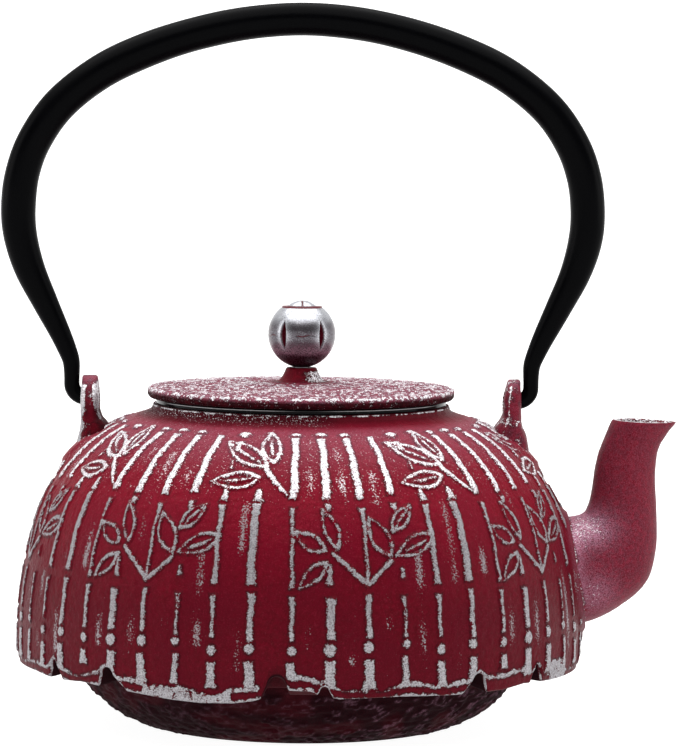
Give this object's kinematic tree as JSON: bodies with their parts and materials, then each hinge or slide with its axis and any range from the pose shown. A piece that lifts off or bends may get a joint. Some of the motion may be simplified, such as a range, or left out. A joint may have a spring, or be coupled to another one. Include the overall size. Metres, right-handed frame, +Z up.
{
  "type": "teapot",
  "caption": "Squat round cast iron teapot with a bamboo relief, ragged skirt, upright bail handle, curved spout, flat lid with a ball knob and a lift-out infuser.",
  "frame": {"origin": "centre of the flat foot, on the table", "axes": "+Z up, +X towards the spout, +Y away from the side that is seen with the spout on the right"},
  "size_m": [0.203, 0.17, 0.2154],
  "materials": {
    "crimson_iron": "crimson paint over sand-cast iron with silver rubbed on the raised parts",
    "black_enamel": "gloss black vitreous enamel",
    "silver_knob": "worn satin silver over crimson",
    "black_bail": "satin black, fine grained",
    "stainless_sheet": "polished stainless steel",
    "stainless_mesh": "fine woven stainless steel wire",
    "zinc_screw": "plain steel"
  },
  "bodies": {
    "pot": {"body_casting": "crimson_iron", "enamel_lining": "black_enamel"},
    "bail": {"bail_handle": "black_bail"},
    "infuser": {"infuser_rim": "stainless_sheet", "infuser_wall_mesh": "stainless_mesh", "infuser_base_band": "stainless_sheet", "infuser_base_mesh": "stainless_mesh"},
    "lid": {"lid_casting": "crimson_iron", "knob": "silver_knob", "knob_screw": "zinc_screw", "knob_washer": "zinc_screw"}
  },
  "joints": [
    {"name": "bail_swing", "type": "hinge", "parent": "pot", "child": "bail", "pos_m": [0, 0, 0.0969], "axis": [1, 0, 0], "range_deg": [-125, 125]},
    {"name": "infuser_lift", "type": "slide", "parent": "pot", "child": "infuser", "axis": [0, 0, 1], "range_m": [0, 0.062]},
    {"name": "lid_lift", "type": "slide", "parent": "infuser", "child": "lid", "axis": [0, 0, 1], "range_m": [0, 0.07]}
  ]
}
